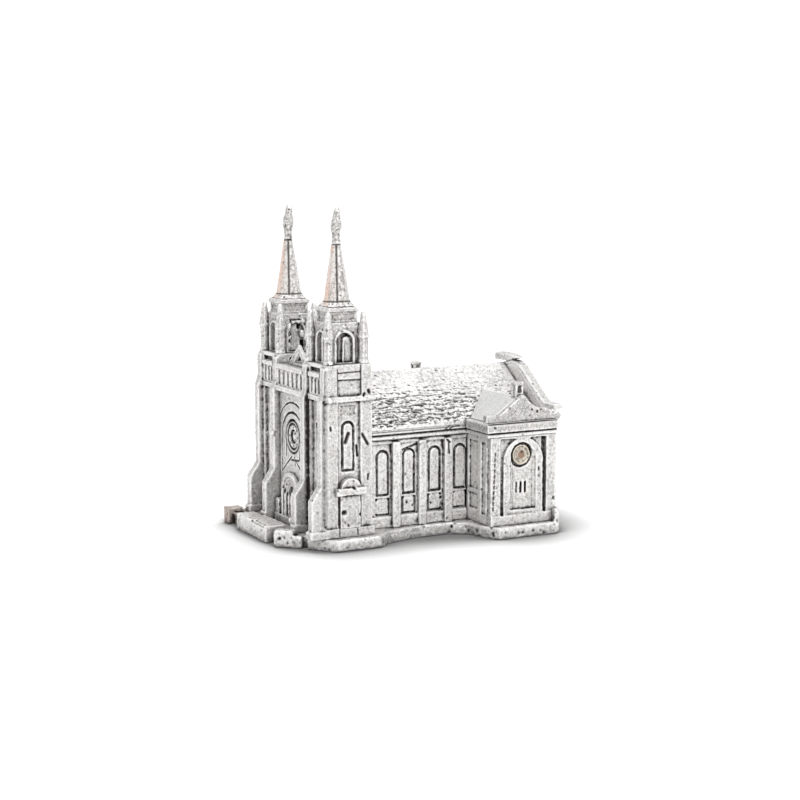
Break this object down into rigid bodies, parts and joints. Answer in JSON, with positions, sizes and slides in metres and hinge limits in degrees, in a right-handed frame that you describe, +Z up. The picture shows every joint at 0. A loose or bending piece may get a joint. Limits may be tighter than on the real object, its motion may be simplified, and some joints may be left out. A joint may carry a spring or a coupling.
{
  "type": "miniature landmark model",
  "caption": "Small cast-metal souvenir of a church with twin spired towers, a shingled nave roof and two gabled transepts, standing on a flat lobed base.",
  "frame": {"origin": "middle of the underside of the base, halfway along the length and across the width", "axes": "+Z up along the spires, -Y is the front with the two towers and the door, +X is the viewer's right when facing the front"},
  "size_m": [0.043, 0.055, 0.06],
  "materials": {
    "wall_pewter": "soft as-cast pewter with a satin sheen and dark patina left in the recesses",
    "base_pewter": "soft as-cast pewter with a satin sheen and dark patina left in the recesses, browner towards its left end",
    "roof_pewter": "bright worn pewter with dark pits between the shingles",
    "spire_pewter": "as-cast pewter with a faint copper tarnish",
    "rosette_pewter": "pewter with a faint brassy tarnish"
  },
  "bodies": {
    "root": {"base_plate": "base_pewter", "belfry_left": "wall_pewter", "belfry_right": "wall_pewter", "entrance_doors": "wall_pewter", "entrance_porch": "wall_pewter", "entrance_steps": "base_pewter", "facade_gable": "wall_pewter", "facade_wall": "wall_pewter", "gallery_deck": "wall_pewter", "gallery_screen_centre": "wall_pewter", "gallery_screen_left": "wall_pewter", "gallery_screen_right": "wall_pewter", "nave_front_wall": "wall_pewter", "nave_roof_left": "roof_pewter", "nave_roof_right": "roof_pewter", "nave_wall_left": "wall_pewter", "nave_wall_right": "wall_pewter", "pinnacle_left_front_inner": "wall_pewter", "pinnacle_left_front_outer": "wall_pewter", "pinnacle_left_rear_inner": "wall_pewter", "pinnacle_left_rear_outer": "wall_pewter", "pinnacle_right_front_inner": "wall_pewter", "pinnacle_right_front_outer": "wall_pewter", "pinnacle_right_rear_inner": "wall_pewter", "pinnacle_right_rear_outer": "wall_pewter", "rear_capstone": "wall_pewter", "rear_coping_left": "wall_pewter", "rear_coping_right": "wall_pewter", "rear_gable_wall": "wall_pewter", "rose_window": "wall_pewter", "spire_finial_left": "spire_pewter", "spire_finial_right": "spire_pewter", "spire_left": "spire_pewter", "spire_right": "spire_pewter", "tower_porch_left": "wall_pewter", "tower_porch_right": "wall_pewter", "tower_shaft_left": "wall_pewter", "tower_shaft_right": "wall_pewter", "transept_bellcote_left": "wall_pewter", "transept_bellcote_right": "wall_pewter", "transept_end_wall_left": "wall_pewter", "transept_end_wall_right": "wall_pewter", "transept_entablature_left": "wall_pewter", "transept_entablature_right": "wall_pewter", "transept_front_wall_left": "wall_pewter", "transept_front_wall_right": "wall_pewter", "transept_pediment_left": "wall_pewter", "transept_pediment_right": "wall_pewter", "transept_rear_wall_left": "wall_pewter", "transept_rear_wall_right": "wall_pewter", "transept_roof_left": "wall_pewter", "transept_roof_right": "wall_pewter", "transept_rosette_left": "rosette_pewter", "transept_rosette_right": "rosette_pewter"}
  },
  "joints": []
}
